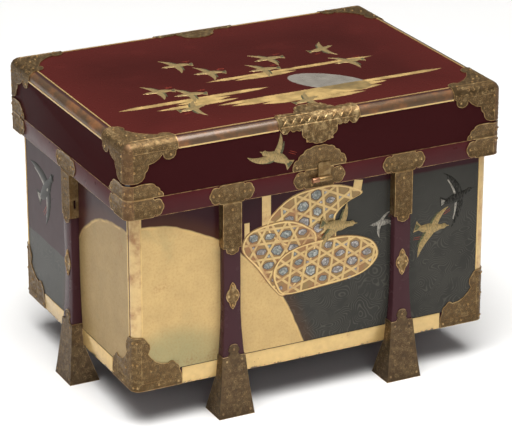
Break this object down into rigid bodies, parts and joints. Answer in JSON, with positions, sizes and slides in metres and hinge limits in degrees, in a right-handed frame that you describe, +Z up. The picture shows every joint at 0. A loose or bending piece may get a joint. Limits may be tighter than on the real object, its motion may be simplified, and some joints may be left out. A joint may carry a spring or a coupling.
{
  "type": "lacquer chest",
  "caption": "Rectangular lacquered wooden chest on flared legs, with a lift-off lid, a projecting rim band, engraved brass fittings and a gold waterside design.",
  "frame": {"origin": "on the floor under the middle of the chest", "axes": "+X to the right along the long side, +Y to the back (the lock faces -Y), +Z up"},
  "size_m": [0.631, 0.461, 0.4395],
  "materials": {
    "lacquer_body": "glossy dark red-brown lacquer with gold, silver and shell pictures",
    "lacquer_band": "glossy red-brown lacquer with worn gold edges",
    "lacquer_lid": "glossy red-brown lacquer with gold mist, small birds and a gilt bead",
    "lacquer_leg": "glossy dark purple-brown lacquer",
    "brass_corner": "engraved sheet brass, darkened in the grooves and coppery where it is rubbed",
    "brass_mount": "engraved sheet brass with a dull brown patina",
    "brass_shoe": "engraved sheet brass with bright worn edges",
    "copper": "reddish copper alloy, smooth"
  },
  "bodies": {
    "root": {"chest_body": "lacquer_body", "rim_band": "lacquer_band", "lid": "lacquer_lid", "lid_cap_front_left": "brass_corner", "lid_cap_front_right": "brass_corner", "lid_cap_back_right": "brass_corner", "lid_cap_back_left": "brass_corner", "lid_low_plate_front_left": "brass_corner", "lid_low_plate_front_right": "brass_corner", "lid_low_plate_back_right": "brass_corner", "lid_low_plate_back_left": "brass_corner", "band_corner_plate_front_left": "brass_corner", "band_corner_plate_front_right": "brass_corner", "band_corner_plate_back_right": "brass_corner", "band_corner_plate_back_left": "brass_corner", "body_bracket_front_left": "brass_corner", "body_bracket_front_right": "brass_corner", "body_bracket_back_right": "brass_corner", "body_bracket_back_left": "brass_corner", "rim_mount_front": "brass_mount", "rim_mount_back": "brass_mount", "lock_plate_lid": "brass_mount", "lock_plate_band": "brass_mount", "hasp": "brass_mount", "hasp_keeper": "copper", "leg_plate_front_1": "brass_mount", "leg_front_1": "lacquer_leg", "shoe_front_1": "brass_shoe", "strap_front_1": "brass_mount", "diamond_front_1": "brass_mount", "leg_plate_front_2": "brass_mount", "leg_front_2": "lacquer_leg", "shoe_front_2": "brass_shoe", "strap_front_2": "brass_mount", "diamond_front_2": "brass_mount", "leg_plate_right": "brass_mount", "leg_right": "lacquer_leg", "shoe_right": "brass_shoe", "strap_right": "brass_mount", "diamond_right": "brass_mount", "leg_plate_back_1": "brass_mount", "leg_back_1": "lacquer_leg", "shoe_back_1": "brass_shoe", "strap_back_1": "brass_mount", "diamond_back_1": "brass_mount", "leg_plate_back_2": "brass_mount", "leg_back_2": "lacquer_leg", "shoe_back_2": "brass_shoe", "strap_back_2": "brass_mount", "diamond_back_2": "brass_mount", "leg_plate_left": "brass_mount", "leg_left": "lacquer_leg", "shoe_left": "brass_shoe", "strap_left": "brass_mount", "diamond_left": "brass_mount"}
  },
  "joints": []
}
